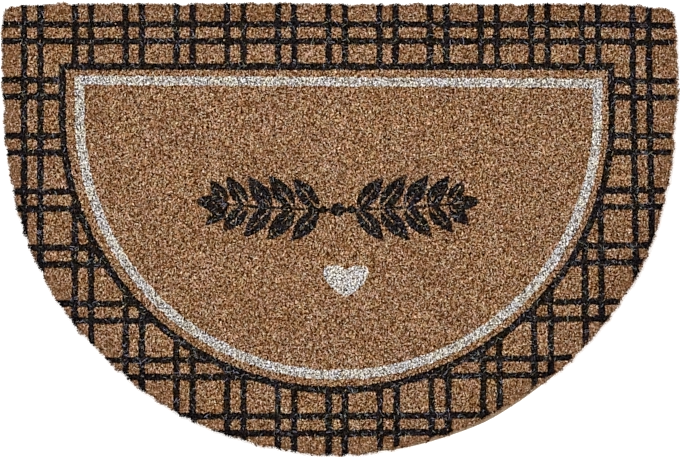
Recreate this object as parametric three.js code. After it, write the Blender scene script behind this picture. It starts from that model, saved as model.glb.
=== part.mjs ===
// Half-round coir doormat, lying flat: upright coir bristles standing in a thin vinyl sheet.
//
// Millimetres, +Z up. The underside lies on z = 0 and the origin is under the middle of the mat's box.
// +Y is towards the long straight edge, the one that goes against the door, and +X is to its right.

import * as THREE from 'three';
import { mergeVertices } from 'three/addons/utils/BufferGeometryUtils.js';

// Driving sizes of the whole mat, 600 mm wide over its sides
const THICKNESS = 15;
const ARC_RADIUS = 297.7; // of the round front edge, a half circle
const BAND = 103; // from the half circle's centre back to the straight edge

// The vinyl sheet
const BASE_THICKNESS = 2.2;
const BASE_INSET = 1.1; // how far the sheet's edge stays inside the splayed bristles
const SEAT_GAP = 0.3; // between the sheet and the solid that stands for the bristles

// The outline behind the half circle, from the straight edge to the half circle's end on the left, and
// on from its other end on the right. Each row is a curve's handle, where it has one, and its end.
// The straight edge falls off towards both corners, more so on the right, and the sides bulge a little.
const LEFT_BACK = [
  { to: [-262, 103] },
  { by: [-275, 102], to: [-288, 101.5] },
  { by: [-299, 101.3], to: [-300.2, 90] },
  { by: [-301.2, 40], to: [-297.7, 0] },
];
const RIGHT_BACK = [
  { by: [301, 30], to: [299.4, 56] },
  { by: [298.2, 72], to: [296.6, 88] },
  { by: [295.4, 100.2], to: [285, 100.1] },
  { by: [266, 99.9], to: [256, 102.3] },
  { to: [212, 103] },
];

// Pitch of the points of each loop
const RIM_PITCH = 3.9;
const CUT_PITCH = 8;
const TOP_PITCH = 13;

// Stretches where the cut wandered from the half circle. at is the middle of the stretch in degrees
// round it, from the left side over the front to the right side. half is half its length in degrees.
const WANDERS = [
  { at: 12, half: 10, out: -0.7 },
  { at: 25, half: 8, out: 0.3 },
  { at: 46, half: 9, out: -1.1 },
  { at: 57, half: 9, out: -0.2 },
  { at: 75, half: 11, out: -0.8 },
  { at: 94, half: 9, out: -0.6 },
  { at: 108, half: 10, out: -0.9 },
  { at: 125, half: 12, out: -1.5 },
  { at: 138, half: 9, out: -1.7 },
  { at: 146, half: 6, out: -0.8 },
  { at: 154, half: 8, out: 0.5 },
  { at: 168, half: 9, out: -1.3 },
  { at: 178, half: 7, out: -0.9 },
];

// The stretch at the front right where the pile is drawn in and bares the edge of the sheet
const BARED = { at: 118, half: 15, in: 3.0 };

// Tufts that stand in and out along the rim: how many go round it, and how far they stand out
const RIM_TUFTS = [
  { round: 44, out: 0.33 },
  { round: 70, out: 0.3 },
  { round: 104, out: 0.46 },
  { round: 151, out: 0.27 },
  { round: 209, out: 0.3 },
];

// The pile's edge in section, from the sheet up. z is a share of the pile's height.
const EDGE_SECTION = [
  { name: 'root', inset: 0.9, z: 0 },
  { name: 'belly', inset: 0, z: 0.55 },
  { name: 'shoulder', inset: 0.7, z: 0.86 },
];
const CROWN_INSET = 3.4; // where the round shoulder meets the brushed top

// Slow swells of the brushed top: the pitch of each along X and along Y, and its height
const SWELLS = [
  { alongX: 61, alongY: 83, high: 0.16 },
  { alongX: -37, alongY: 44, high: 0.14 },
  { alongX: 26, alongY: 31, high: 0.12 },
];

const TURN = 2 * Math.PI;
const MIDDLE = new THREE.Vector2(0, (BAND - ARC_RADIUS) / 2);

// The outline as a path, counter-clockwise from the middle of the straight edge.
// The half circle's centre is at y = 0 here. inset makes the outline smaller all round.
function outlinePath(inset) {
  const path = new THREE.Path();
  const inward = ([x, y]) => [x - Math.sign(x) * inset, y * (1 - inset / BAND)];
  const follow = ({ by, to }) => {
    if (by) path.quadraticCurveTo(...inward(by), ...inward(to));
    else path.lineTo(...inward(to));
  };
  path.moveTo(0, BAND - inset);
  LEFT_BACK.forEach(follow);
  path.absarc(0, 0, ARC_RADIUS - inset, Math.PI, TURN, false);
  RIGHT_BACK.forEach(follow);
  path.closePath();
  return path;
}

// A smooth bump along the half circle: 1 at the middle of a row's stretch, 0 at its ends and beyond
function bump(point, row) {
  const turned = 270 + THREE.MathUtils.radToDeg(Math.atan2(point.y, point.x));
  const degrees = THREE.MathUtils.euclideanModulo(turned, 360) - 90;
  const off = Math.abs(degrees - row.at) / row.half;
  return off < 1 ? 0.5 + 0.5 * Math.cos(Math.PI * off) : 0;
}

// How far the die's cut wanders out at a point of the outline
function cutReach(point) {
  return WANDERS.reduce((sum, row) => sum + row.out * bump(point, row), 0);
}

// How far the bristles reach at a point that lies at the share u of the way round the rim
function pileReach(point, u) {
  const tufts = RIM_TUFTS.reduce((sum, row, k) => sum + row.out * Math.sin(TURN * row.round * u + k), 0);
  return cutReach(point) + tufts - BARED.in * bump(point, BARED);
}

// One loop of points at a share of the way between the middle of the mat and the outline.
// reach moves each point out along the outline's own normal.
function loop({ inset, reach, count, share = 1 }) {
  const path = outlinePath(inset);
  const points = [];
  for (let k = 0; k < count; k += 1) {
    const u = k / count;
    const point = path.getPointAt(u);
    const tangent = path.getTangentAt(u);
    const out = reach(point, u);
    point.add(new THREE.Vector2(tangent.y, -tangent.x).multiplyScalar(out));
    points.push(point.sub(MIDDLE).multiplyScalar(share));
  }
  return points;
}

// How many points a pitch apart go round the outline
function countAt(pitch, share = 1) {
  return Math.round((outlinePath(0).getLength() * share) / pitch);
}

// Height of the brushed top over a point. No swell rises above the mat's thickness.
function topHeight(point) {
  return SWELLS.reduce((height, row) => {
    const phase = TURN * (point.x / row.alongX + point.y / row.alongY);
    return height + row.high * (Math.sin(phase) - 1);
  }, THICKNESS);
}

// Collects the triangles of a closed skin. Loops are counter-clockwise seen from above.
class Skin {
  constructor() {
    this.places = [];
  }

  face(a, b, c) {
    this.places.push(...a, ...b, ...c);
  }

  // The band between two loops, whose points are counted evenly from the same start.
  // Each step moves on along whichever loop is behind, so the triangles stay even.
  band(outer, inner) {
    let i = 0;
    let j = 0;
    while (i < outer.length || j < inner.length) {
      const here = outer[i % outer.length];
      const there = inner[j % inner.length];
      if ((i + 1) * inner.length <= (j + 1) * outer.length) {
        i += 1;
        this.face(here, outer[i % outer.length], there);
      } else {
        j += 1;
        this.face(here, inner[j % inner.length], there);
      }
    }
  }

  // The fan that closes a small loop over its middle
  fan(ring, tip) {
    ring.forEach((place, k) => this.face(place, ring[(k + 1) % ring.length], tip));
  }

  // The flat area inside a loop, facing up or down
  plate(ring, up) {
    const flat = ring.map(([x, y]) => new THREE.Vector2(x, y));
    for (const [a, b, c] of THREE.ShapeUtils.triangulateShape(flat, [])) {
      if (up) this.face(ring[a], ring[b], ring[c]);
      else this.face(ring[a], ring[c], ring[b]);
    }
  }

  geometry() {
    const loose = new THREE.BufferGeometry();
    loose.setAttribute('position', new THREE.Float32BufferAttribute(this.places, 3));
    const whole = mergeVertices(loose, 1e-4);
    whole.computeVertexNormals();
    return whole;
  }
}

// The pile: its edge section carried round the rim, then ever smaller loops across the brushed top
function coirPile() {
  const floor = BASE_THICKNESS + SEAT_GAP;
  const tall = THICKNESS - floor;
  const count = countAt(RIM_PITCH);
  const onTop = (point) => [point.x, point.y, topHeight(point)];
  const rings = EDGE_SECTION.map(({ inset, z }) => {
    const points = loop({ inset, reach: pileReach, count });
    return points.map((point) => [point.x, point.y, floor + tall * z]);
  });
  rings.push(loop({ inset: CROWN_INSET, reach: pileReach, count }).map(onTop));

  const steps = Math.round((BAND + ARC_RADIUS) / 2 / TOP_PITCH);
  for (let k = steps - 1; k > 0; k -= 1) {
    const share = k / steps;
    const around = { inset: CROWN_INSET, reach: cutReach, count: countAt(TOP_PITCH, share), share };
    rings.push(loop(around).map(onTop));
  }

  const skin = new Skin();
  skin.plate(rings[0], false);
  for (let k = 1; k < rings.length; k += 1) skin.band(rings[k - 1], rings[k]);
  skin.fan(rings.at(-1), onTop(new THREE.Vector2(0, 0)));
  return skin.geometry();
}

// The vinyl sheet: a flat plate with a plain cut edge
function vinylBase() {
  const cut = loop({ inset: BASE_INSET, reach: cutReach, count: countAt(CUT_PITCH) });
  const low = cut.map((point) => [point.x, point.y, 0]);
  const high = cut.map((point) => [point.x, point.y, BASE_THICKNESS]);
  const skin = new Skin();
  skin.band(low, high);
  skin.plate(high, true);
  skin.plate(low, false);
  return skin.geometry();
}

const coir = new THREE.MeshStandardMaterial({ color: 0x906d50, roughness: 0.95, metalness: 0 });
const vinyl = new THREE.MeshStandardMaterial({ color: 0xa98a66, roughness: 0.6, metalness: 0 });

const mat = new THREE.Group();

const pile = new THREE.Mesh(coirPile(), coir);
pile.name = 'coir_pile';
mat.add(pile);

const base = new THREE.Mesh(vinylBase(), vinyl);
base.name = 'vinyl_base';
mat.add(base);

// The origin goes under the middle of the box
const middle = new THREE.Box3().setFromObject(mat).getCenter(new THREE.Vector3());
mat.position.set(-middle.x, -middle.y, 0);

export default mat;
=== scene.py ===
"""Blender scene of a half-round coir doormat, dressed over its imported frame.

The real mat is a thin vinyl sheet with upright coir bristles set in it. The bristles are brushed and
trimmed level, so from above they are a close crowd of short fibre ends lying every way, over a dark bed.
A dark window check, a half-moon frame line, a leaf garland, a pale frame and a pale heart are printed on
the fibres.

Everything is in metres in the frame's own place: +Z is up and +Y is towards the straight edge. The mat's
lengths are written with MM, or else are plain millimetres that MM turns into metres where they are used.
"""

from __future__ import annotations

import logging
import math
from dataclasses import dataclass, replace
from enum import Enum

import bpy
import numpy as np
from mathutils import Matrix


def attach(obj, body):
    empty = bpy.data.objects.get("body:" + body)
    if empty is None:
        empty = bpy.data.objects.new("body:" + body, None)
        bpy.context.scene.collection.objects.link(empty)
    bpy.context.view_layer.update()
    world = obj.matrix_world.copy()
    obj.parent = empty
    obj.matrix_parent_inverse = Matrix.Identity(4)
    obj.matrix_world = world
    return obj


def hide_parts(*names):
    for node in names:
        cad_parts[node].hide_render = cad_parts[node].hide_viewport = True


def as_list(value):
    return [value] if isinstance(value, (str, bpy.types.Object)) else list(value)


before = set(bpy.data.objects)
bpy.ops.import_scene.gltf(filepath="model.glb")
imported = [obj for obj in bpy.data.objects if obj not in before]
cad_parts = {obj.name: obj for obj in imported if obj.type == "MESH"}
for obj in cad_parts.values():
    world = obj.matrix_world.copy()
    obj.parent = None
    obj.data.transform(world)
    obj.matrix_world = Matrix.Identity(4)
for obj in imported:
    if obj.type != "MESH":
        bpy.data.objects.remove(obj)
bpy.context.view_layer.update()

MM = 0.001
TURN = 2 * math.pi
WELL_INSIDE = 50 * MM
NEAR_BACK = (150 * MM, 185 * MM)
FAR_OFF_INK = 9.0

Array = np.ndarray
Draws = np.random.Generator
Piece = bpy.types.Object
Material = bpy.types.Material
Node = bpy.types.Node
Socket = bpy.types.NodeSocket
Colour = tuple[float, float, float]
Stops = tuple[tuple[float, Colour], ...]
Pairs = tuple[tuple[float, float], ...]

log = logging.getLogger("doormat")


class Slot(Enum):
    """The record's material slots."""

    COIR = "coir"
    VINYL = "vinyl"


# Arrays


def clipped(values: Array) -> Array:
    """The values, held between 0 and 1."""
    return np.clip(values, 0.0, 1.0)


def eased(share: Array) -> Array:
    """A share with a gentle start and end: 3t^2 - 2t^3."""
    return share * share * (3 - 2 * share)


def units(plan: Array) -> Array:
    """Each row of X and Y brought to a length of 1."""
    return plan / np.hypot(*plan.T)[:, None]


def left_of(plan: Array) -> Array:
    """Each row of X and Y turned a quarter turn to the left."""
    return np.column_stack([-plan[:, 1], plan[:, 0]])


def level(plan: Array) -> Array:
    """Each row of X and Y with a Z of 0."""
    return np.column_stack([plan, np.zeros(len(plan))])


def headings(angle: Array) -> Array:
    """The unit X and Y of each angle from +X."""
    return np.column_stack([np.cos(angle), np.sin(angle)])


# Shader graphs


class Value:
    """A socket that carries a number, so that an expression on it adds the Math nodes."""

    def __init__(self, graph: Graph, socket: Socket) -> None:
        """Wraps a socket of a graph.

        Args:
            graph: the graph that the socket belongs to.
            socket: an output that carries a number.
        """
        self.graph = graph
        self.socket = socket

    def _math(self, operation: str, *terms: Value | float) -> Value:
        """Adds one Math node.

        Args:
            operation: the node's operation.
            terms: its inputs in order.

        Returns:
            The node's result.
        """
        settings = {"operation": operation}
        made = self.graph.node("ShaderNodeMath", settings, dict(enumerate(terms)))
        return Value(self.graph, made.outputs[0])

    def __add__(self, other: Value | float) -> Value:
        """Sum."""
        return self._math("ADD", self, other)

    def __radd__(self, other: float) -> Value:
        """Sum with a number on the left."""
        return self._math("ADD", other, self)

    def __sub__(self, other: Value | float) -> Value:
        """Difference."""
        return self._math("SUBTRACT", self, other)

    def __rsub__(self, other: float) -> Value:
        """Difference with a number on the left."""
        return self._math("SUBTRACT", other, self)

    def __mul__(self, other: Value | float) -> Value:
        """Product."""
        return self._math("MULTIPLY", self, other)

    def __rmul__(self, other: float) -> Value:
        """Product with a number on the left."""
        return self._math("MULTIPLY", other, self)

    def between(self, low: float, high: float) -> Value:
        """Rises smoothly from 0 at low to 1 at high.

        Args:
            low: the input where the rise starts.
            high: the input where it ends.

        Returns:
            The eased share.
        """
        settings = {"interpolation_type": "SMOOTHSTEP"}
        values = {"Value": self, "From Min": low, "From Max": high}
        made = self.graph.node("ShaderNodeMapRange", settings, values)
        return Value(self.graph, made.outputs["Result"])


class Graph:
    """The node tree of one material."""

    def __init__(self, name: str) -> None:
        """Starts an empty material.

        Args:
            name: the material's name.
        """
        self.material = bpy.data.materials.new(name)
        self.material.use_nodes = True
        self.tree = self.material.node_tree
        self.tree.nodes.clear()

    def node(self, kind: str, settings: dict | None = None, values: dict | None = None) -> Node:
        """Adds a node of any kind.

        Args:
            kind: the node's type.
            settings: its properties, set first. "stops" gives a ramp's (place, colour) pairs.
            values: a number, colour or link for each socket, by name or by place.

        Returns:
            The node.
        """
        made = self.tree.nodes.new(kind)
        for name, value in (settings or {}).items():
            if name == "stops":
                self._set_stops(made, value)
            else:
                setattr(made, name, value)
        for name, value in (values or {}).items():
            socket = made.inputs[name]
            if isinstance(value, Value):
                value = value.socket
            if isinstance(value, Socket):
                self.tree.links.new(value, socket)
            else:
                socket.default_value = value
        return made

    @staticmethod
    def _set_stops(ramp: Node, stops: Stops) -> None:
        """Sets a colour ramp's stops.

        Args:
            ramp: the ramp node.
            stops: (place, colour) pairs in rising order.
        """
        elements = ramp.color_ramp.elements
        while len(elements) < len(stops):
            elements.new(1.0)
        for element, (place, colour) in zip(elements, stops):
            element.position = place
            element.color = (*colour, 1.0)

    def mark(self, name: str) -> Value:
        """Reads a number that the mesh carries at each point.

        Args:
            name: the attribute's name.

        Returns:
            Its value.
        """
        made = self.node("ShaderNodeAttribute", {"attribute_name": name})
        return Value(self, made.outputs["Fac"])

    def place(self) -> Socket:
        """The point's place in object coordinates."""
        return self.node("ShaderNodeTexCoord").outputs["Object"]

    def noise(self, scale: float, detail: float = 2.0, roughness: float = 0.5) -> Value:
        """Fractal noise over object coordinates, from 0 to 1.

        Args:
            scale: cells to the metre.
            detail: octaves.
            roughness: weight of the finer octaves.

        Returns:
            The noise.
        """
        values = {"Vector": self.place(), "Scale": scale, "Detail": detail, "Roughness": roughness}
        return Value(self, self.node("ShaderNodeTexNoise", None, values).outputs["Fac"])

    def line_noise(self, place: Value) -> Value:
        """Noise along a line, from 0 to 1.

        Args:
            place: where on the line it is read.

        Returns:
            The noise.
        """
        values = {"W": place, "Scale": 1.0, "Detail": 0.0}
        made = self.node("ShaderNodeTexNoise", {"noise_dimensions": "1D"}, values)
        return Value(self, made.outputs["Fac"])

    def ramp(self, share: Value, stops: Stops) -> Socket:
        """A colour ramp read at a share.

        Args:
            share: where the ramp is read.
            stops: (place, colour) pairs in rising order.

        Returns:
            The colour.
        """
        return self.node("ShaderNodeValToRGB", {"stops": stops}, {"Fac": share}).outputs["Color"]

    def mix(self, share: Value | float, low: object, high: object, blend: str = "MIX") -> Socket:
        """Mixes two colours.

        Args:
            share: weight of the second colour.
            low: the first colour, as a socket or four numbers.
            high: the second colour.
            blend: the way they are mixed.

        Returns:
            The mixed colour.
        """
        settings = {"data_type": "RGBA", "blend_type": blend}
        made = self.node("ShaderNodeMix", settings, {0: share, 6: low, 7: high})
        return made.outputs[2]

    def bump(self, height: Value, strength: float, distance: float) -> Socket:
        """Turns a height into a normal.

        Args:
            height: the relief, 0 to 1.
            strength: the share of the relief that is used.
            distance: how high 1 stands, in metres.

        Returns:
            The bumped normal.
        """
        values = {"Height": height, "Strength": strength, "Distance": distance}
        return self.node("ShaderNodeBump", None, values).outputs["Normal"]

    def finish(self, values: dict) -> Material:
        """Closes the graph with a Principled shader.

        Args:
            values: the shader's sockets.

        Returns:
            The material.
        """
        shader = self.node("ShaderNodeBsdfPrincipled", None, values)
        self.node("ShaderNodeOutputMaterial", None, {"Surface": shader.outputs["BSDF"]})
        return self.material


class Darkroom(Graph):
    """The node tree that develops a scene's picture."""

    def __init__(self, scene: bpy.types.Scene) -> None:
        """Starts an empty tree.

        Args:
            scene: whose picture it is.
        """
        scene.use_nodes = True
        self.tree = scene.node_tree
        self.tree.nodes.clear()

    def step(self, kind: str, values: dict, settings: dict | None = None) -> Socket:
        """Adds a node with one result.

        Args:
            kind: the node's type.
            values: a number or link for each socket, by name or by place.
            settings: its properties.

        Returns:
            The result.
        """
        return self.node(kind, settings, values).outputs["Image"]


def opaque(colour: Colour) -> tuple[float, float, float, float]:
    """A colour with full alpha."""
    return (*colour, 1.0)


# Factors that set the streaks of one fibre apart from those of the next
OWN_HUE = 57.0
OWN_TONE = 83.0

# Casts from one end of a swing to the other
GREY_YELLOW = ((0.965, 1.01, 1.16), (1.035, 1.01, 0.86))
GREEN_ROSE = ((0.955, 1.032, 0.978), (1.045, 0.969, 1.016))


@dataclass(frozen=True)
class Tint:
    """Colours of one kind of fibre, from its darkest tone to its brightest, and the darker colour at its
    root: partly a dustier root, partly painted shade of the deep pile.
    """

    stops: Stops
    # multiplies the colour towards the root: partly a dustier root, partly painted shade of the deep pile
    root: Colour
    grain: float = 0.4
    strands: float = 0.4
    swing: tuple[float, float] = (1.0, 1.0)

    def colour(self, graph: Graph) -> Socket:
        """The colour at a point: a ramp over the fibre's tone, darker at the root with dust and with
        painted shade of the deep pile.

        The tone varies with fine grain, and in streaks along the fibre, as it stands for a few thinner
        ones. Fibres run greyer or yellower, and patches of them greener or rosier.

        Args:
            graph: the graph to add to.

        Returns:
            The colour.
        """
        own = graph.mark("hue") * OWN_HUE + graph.mark("tone") * OWN_TONE
        strand = graph.line_noise(graph.mark("across") * 1.5 + own)
        grain = (graph.noise(1500.0, 1.0) - 0.5) * self.grain
        fibre = graph.ramp(graph.mark("tone") + grain + (strand - 0.5) * self.strands, self.stops)
        # the darkening at the root is partly dust and partly painted shade of the deep pile
        root_dust_and_shade = graph.mix(1.0, fibre, opaque(self.root), "MULTIPLY")
        colour = graph.mix(graph.mark("lift").between(0.0, 0.55), root_dust_and_shade, fibre)
        patches = graph.noise(130.0, 4.0).between(0.35, 0.65)
        casts = ((graph.mark("hue"), GREY_YELLOW), (patches, GREEN_ROSE))
        for (share, ends), swing in zip(casts, self.swing):
            low, high = (opaque(tuple(part**swing for part in end)) for end in ends)
            colour = graph.mix(1.0, colour, graph.mix(share, low, high), "MULTIPLY")
        return colour


BARE_TINT = Tint(
    stops=(
        (0.0, (0.040, 0.0085, 0.0004)),
        (0.25, (0.165, 0.060, 0.0165)),
        (0.55, (0.425, 0.214, 0.092)),
        (1.0, (0.88, 0.685, 0.515)),
    ),
    root=(0.38, 0.22, 0.12),
)
# Black ink. The brightest stops of its ramp are a painted glint on the glossy ink.
BLACK_INK_AND_GLINT_TINT = Tint(
    stops=(
        (0.0, (0.0012, 0.0006, 0.0004)),
        (0.35, (0.0105, 0.0070, 0.0057)),
        (0.6, (0.026, 0.0180, 0.0148)),
        (0.8, (0.042, 0.0320, 0.0275)),
        (1.0, (0.085, 0.072, 0.065)),
    ),
    root=(0.4, 0.3, 0.3),
    swing=(3.3, 2.4),
)
WHITE_TINT = Tint(
    stops=(
        (0.0, (0.012, 0.008, 0.006)),
        (0.2, (0.19, 0.165, 0.145)),
        (0.5, (0.71, 0.672, 0.630)),
        (1.0, (0.90, 0.870, 0.832)),
    ),
    root=(0.22, 0.17, 0.13),
    grain=0.35,
    strands=0.3,
    swing=(0.8, 0.35),
)
# Loose strands under black ink: their grey is a painted sheen of the glossy ink, over a near-black ink
# colour.
INK_AND_PAINTED_SHEEN_TINT = Tint(
    stops=((0.0, (0.015, 0.013, 0.012)), (0.5, (0.075, 0.068, 0.064)), (1.0, (0.38, 0.355, 0.335))),
    root=(0.6, 0.6, 0.6),
    swing=(3.3, 1.8),
)


@dataclass(frozen=True)
class FibreFinish:
    """Coir fibre, bare or with ink over the part of it that lies within a stencil.

    The mesh carries how far inside each ink's edge a point lies, in millimetres, so the ink ends
    sharply part of the way along a fibre.
    """

    name: str
    inks: tuple[tuple[str, Tint], ...] = ()
    roughness: float = 0.62
    specular: float = 0.02

    def material(self) -> Material:
        """The finish as a material."""
        graph = Graph(self.name)
        colour = BARE_TINT.colour(graph)
        for mark, tint in self.inks:
            edge = graph.mark(mark) + (graph.noise(1800.0) - 0.5) * 0.6
            colour = graph.mix(edge.between(-0.12, 0.12), colour, tint.colour(graph))
        return graph.finish(
            {
                "Base Color": colour,
                "Roughness": graph.noise(700.0) * 0.3 + (self.roughness - 0.15),
                "Specular IOR Level": self.specular,
                "Normal": graph.bump(graph.noise(2600.0, 1.0), 0.5, 0.15 * MM),
            }
        )


BARE_FINISH = FibreFinish("coir_bare")
DARK_FINISH = FibreFinish("coir_inked_black", (("black", BLACK_INK_AND_GLINT_TINT),), roughness=0.5, specular=0.03)
PALE_FINISH = FibreFinish("coir_inked_white", (("white", WHITE_TINT),))
RIM_FINISH = FibreFinish("coir_rim", (("black", BLACK_INK_AND_GLINT_TINT),))
# over the black ink the strands carry the painted sheen
STRAND_FINISH = FibreFinish("coir_strands", (("black", INK_AND_PAINTED_SHEEN_TINT), ("white", WHITE_TINT)))


@dataclass(frozen=True)
class BedFinish:
    """The shaded depth of the pile between the fibre ends."""

    name: str = "coir_bed"
    dark: Colour = (0.045, 0.008, 0.0005)
    light: Colour = (0.26, 0.105, 0.036)
    outer: Colour = (0.40, 0.22, 0.115)
    black: Colour = (0.004, 0.003, 0.0026)
    white: Colour = (0.30, 0.26, 0.22)

    def material(self) -> Material:
        """The finish as a material. The light that comes in at the rim makes it paler there."""
        graph = Graph(self.name)
        grain = graph.noise(1100.0, 3.0, 0.65)
        deep = graph.mix(grain.between(0.42, 0.70), opaque(self.dark), opaque(self.light))
        fibre = graph.mix(graph.mark("outer") * (grain * 0.8 + 0.4), deep, opaque(self.outer))
        pale = graph.mix(graph.mark("white").between(-0.1, 0.5) * grain, fibre, opaque(self.white))
        inked = graph.mix(graph.mark("black").between(-0.2, 0.2), pale, opaque(self.black))
        return graph.finish(
            {
                "Base Color": inked,
                "Roughness": grain * 0.2 + 0.75,
                "Specular IOR Level": 0.0,
                "Normal": graph.bump(grain, 0.8, 0.8 * MM),
            }
        )


@dataclass(frozen=True)
class VinylFinish:
    """Matt tan vinyl with a fine pebble, a little scuffed."""

    name: str = "vinyl_tan"
    deep: Colour = (0.40, 0.28, 0.165)
    pale: Colour = (0.62, 0.47, 0.31)

    def material(self) -> Material:
        """The finish as a material."""
        graph = Graph(self.name)
        pebble_values = {"Vector": graph.place(), "Scale": 900.0, "Randomness": 1.0}
        pebble = Value(graph, graph.node("ShaderNodeTexVoronoi", None, pebble_values).outputs["Distance"])
        cloud = graph.noise(28.0, 4.0, 0.6)
        scuff = graph.noise(260.0, 3.0, 0.7).between(0.56, 0.74)
        shade = cloud.between(0.3, 0.7) * 0.6 + scuff * 0.35
        return graph.finish(
            {
                "Base Color": graph.mix(shade, opaque(self.deep), opaque(self.pale)),
                "Roughness": scuff * 0.2 + 0.5,
                "Specular IOR Level": 0.4,
                "Normal": graph.bump(pebble * 0.7 + graph.noise(2400.0) * 0.3, 0.35, 0.25 * MM),
            }
        )


@dataclass(frozen=True)
class FloorFinish:
    """A plain pale studio table with the faintest grain, lit a little from within."""

    name: str = "floor_pale"
    shade: float = 0.93
    glow: float = 0.2

    def material(self) -> Material:
        """The finish as a material."""
        graph = Graph(self.name)
        level = graph.noise(6.0) * 0.01 + (self.shade - 0.005)
        colour = graph.node("ShaderNodeCombineColor", None, {"Red": level, "Green": level, "Blue": level})
        values = {
            "Base Color": colour.outputs["Color"],
            "Roughness": 0.9,
            "Specular IOR Level": 0.1,
            "Emission Color": opaque((1.0, 1.0, 1.0)),
            "Emission Strength": self.glow,
        }
        return graph.finish(values)


# Meshes


@dataclass(frozen=True)
class Skin:
    """The points and faces of a mesh, with what its finish reads at each point."""

    points: Array
    faces: tuple[Array, ...]
    marks: dict[str, Array]
    chart: Array

    def count(self) -> int:
        """How many triangles the skin has."""
        return sum(len(face) * (face.shape[1] - 2) for face in self.faces)

    def piece(self, name: str, material: Material, smooth: bool = True) -> Piece:
        """Makes the skin an object that rides on the mat.

        Args:
            name: the piece's name.
            material: its finish.
            smooth: whether the light runs smoothly over its edges.

        Returns:
            The object.
        """
        mesh = bpy.data.meshes.new(name)
        corners = np.concatenate([face.ravel() for face in self.faces]).astype(np.int32)
        sizes = np.concatenate([np.full(len(face), face.shape[1]) for face in self.faces])
        mesh.vertices.add(len(self.points))
        mesh.vertices.foreach_set("co", self.points.astype(np.float32).ravel())
        mesh.loops.add(len(corners))
        mesh.loops.foreach_set("vertex_index", corners)
        mesh.polygons.add(len(sizes))
        mesh.polygons.foreach_set("loop_start", (np.cumsum(sizes) - sizes).astype(np.int32))
        mesh.polygons.foreach_set("use_smooth", np.full(len(sizes), smooth))
        chart = mesh.uv_layers.new(name="OFBake")
        chart.data.foreach_set("uv", self.chart[corners].astype(np.float32).ravel())
        for mark, values in self.marks.items():
            layer = mesh.attributes.new(mark, "FLOAT", "POINT")
            layer.data.foreach_set("value", values.astype(np.float32))
        mesh.update(calc_edges=True)
        mesh.materials.append(material)
        made = bpy.data.objects.new(name, mesh)
        bpy.context.scene.collection.objects.link(made)
        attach(made, "root")
        log.info("%s: %d triangles", name, self.count())
        return made


class Drift:
    """Smooth noise over the plan: random numbers on a square lattice, eased between its points."""

    cells = 256

    def __init__(self, pitch: float, seed: int) -> None:
        """Fills the lattice.

        Args:
            pitch: the lattice's pitch in metres.
            seed: of its random numbers.
        """
        self.pitch = pitch
        self.lattice = np.random.default_rng(seed).uniform(-1.0, 1.0, (self.cells + 1,) * 2)

    def at(self, x: Array, y: Array) -> Array:
        """The noise, from -1 to 1: the four numbers round the point, weighted by 3t^2 - 2t^3.

        Args:
            x: places along X.
            y: places along Y.

        Returns:
            The noise at each place.
        """
        u, v = (place / self.pitch + self.cells / 2 + 0.5 for place in (x, y))
        i, j = (np.floor(place).astype(int) for place in (u, v))
        s, t = eased(u - i), eased(v - j)
        i %= self.cells
        j %= self.cells
        low = self.lattice[i, j] * (1 - s) + self.lattice[i + 1, j] * s
        high = self.lattice[i, j + 1] * (1 - s) + self.lattice[i + 1, j + 1] * s
        return low * (1 - t) + high * t


@dataclass(frozen=True)
class Sway:
    """The sum of several drifts, each with its pitch in millimetres, its seed and its height."""

    drifts: tuple[tuple[float, int, float], ...]

    def at(self, x: Array, y: Array) -> Array:
        """The sum at each place."""
        return sum(Drift(pitch * MM, seed).at(x, y) * high for pitch, seed, high in self.drifts)


# How far the die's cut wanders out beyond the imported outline, in millimetres, by degrees round the mat
# from +X over +Y. At the front right the bristles stand back from the sheet's edge.
PILE_WANDER = (
    ((5, -0.6), (15, -0.3), (25, -0.4), (35, 0), (45, 0.6), (55, 0), (65, 0.4), (75, 0), (85, -0.2))
    + ((95, 0.8), (105, 1.0), (115, 1.0), (125, 0.4), (135, 0.8), (145, 0.1), (155, 0.3), (165, 0.7))
    + ((175, 0.4), (185, 0.1), (195, 0.6), (205, 0), (225, -0.1), (235, -0.3), (245, 0), (255, -0.4))
    + ((265, 0.2), (275, -0.2), (284, -2.4), (293, -1.8), (300, -0.5), (308, -0.2), (316, -0.5))
    + ((325, -1.7), (333, -0.9), (345, -0.6), (355, -1.0))
)
SHEET_WANDER = (
    *((276, 0), (284, 0.2), (293, 0.8), (300, 0.9)),
    *((308, 1.0), (317, 0.8), (324, 0.2), (330, 0)),
)


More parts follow.
